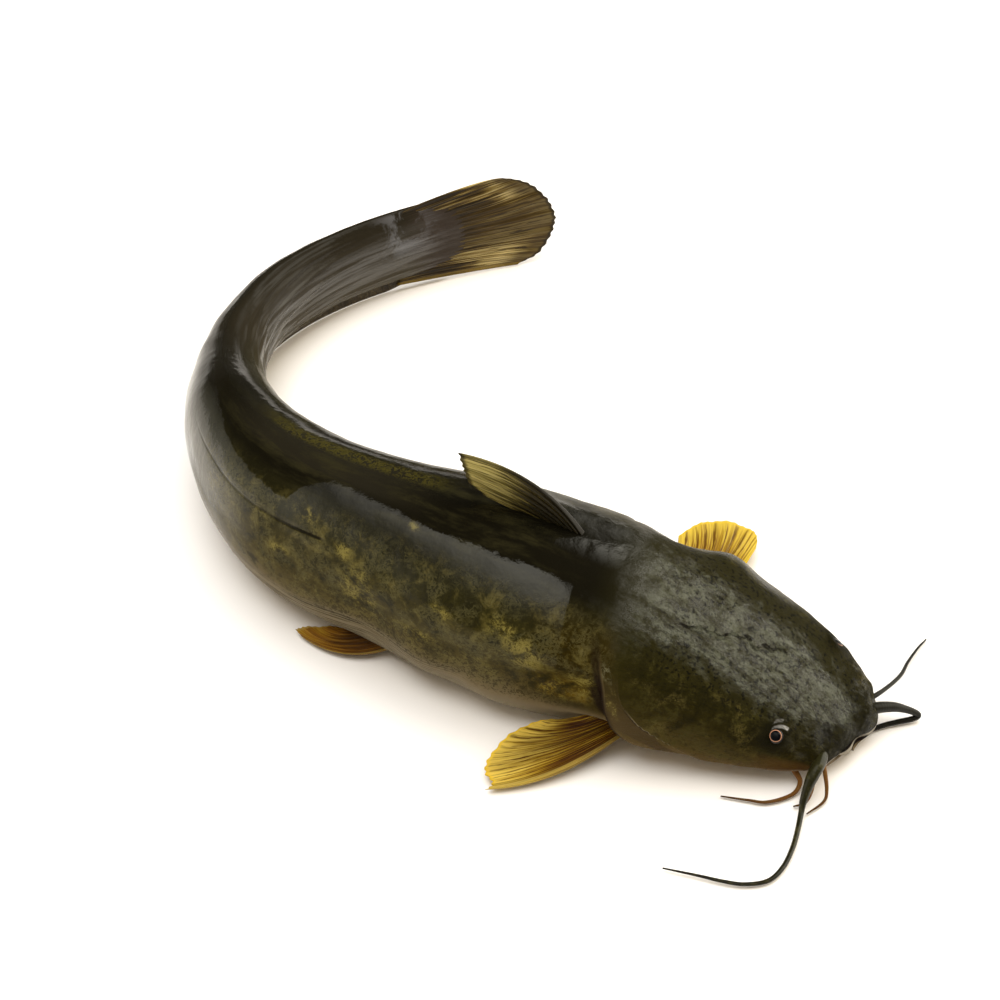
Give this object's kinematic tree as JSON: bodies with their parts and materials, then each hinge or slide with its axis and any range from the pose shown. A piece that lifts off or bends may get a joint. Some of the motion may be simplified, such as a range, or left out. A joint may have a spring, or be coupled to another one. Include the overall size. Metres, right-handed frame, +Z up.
{
  "type": "whole fresh catfish",
  "caption": "Whole raw catfish lying on its belly, broad flat head with long whiskers, tail swept round in a curve.",
  "frame": {"origin": "centre of the bounding box in plan, on the floor the fish lies on", "axes": "+Z up, +X out of the head, +Y to the fish's left, the side the tail bends to"},
  "size_m": [0.4342, 0.417, 0.1215],
  "materials": {
    "skin": "wet scaleless skin, near-black olive back, mottled yellow-olive flanks",
    "fin": "thin wet fin skin, golden yellow with dark brown streaks between the rays",
    "barbel": "smooth wet dark olive feeler",
    "eye": "glossy black pupil with a thin orange-pink ring"
  },
  "bodies": {
    "root": {"catfish": "skin"}
  },
  "joints": []
}
